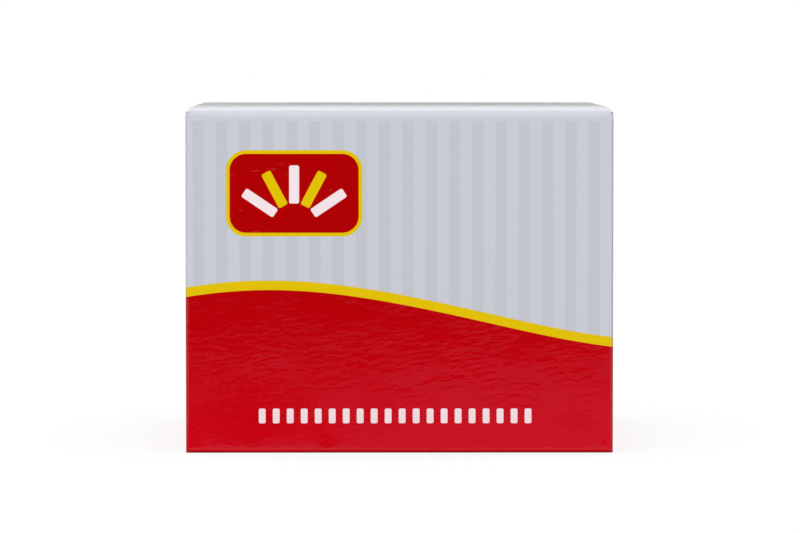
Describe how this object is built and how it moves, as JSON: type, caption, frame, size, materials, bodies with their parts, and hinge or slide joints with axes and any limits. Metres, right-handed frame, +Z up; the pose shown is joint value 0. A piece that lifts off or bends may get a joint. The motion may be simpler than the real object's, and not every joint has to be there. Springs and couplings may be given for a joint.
{
  "type": "box of blackboard chalk",
  "caption": "Folding carton with a tuck-in lid and a striped grey, yellow and red print, packed with white chalk sticks that stand upright in rows.",
  "frame": {"origin": "middle of the underside", "axes": "+X to the right along the front wall, the front wall facing -Y, +Z up through the lid"},
  "size_m": [0.1068, 0.1078, 0.0865],
  "materials": {
    "printed_board": "gloss laminated print on one side, bare grey-white board inside",
    "chalk": "matt and dusty"
  },
  "bodies": {
    "carton": {"carton": "printed_board", "chalk_row_1": "chalk", "chalk_row_2": "chalk", "chalk_row_3": "chalk", "chalk_row_4": "chalk", "chalk_row_5": "chalk", "chalk_row_6": "chalk", "chalk_row_7": "chalk", "chalk_row_8": "chalk", "chalk_row_9": "chalk", "chalk_row_10": "chalk"},
    "lid": {"lid": "printed_board"}
  },
  "joints": [
    {"name": "lid_hinge", "type": "hinge", "parent": "carton", "child": "lid", "pos_m": [0, 0.05341, 0.086], "axis": [-1, 0, 0], "range_deg": [0, 180]}
  ]
}
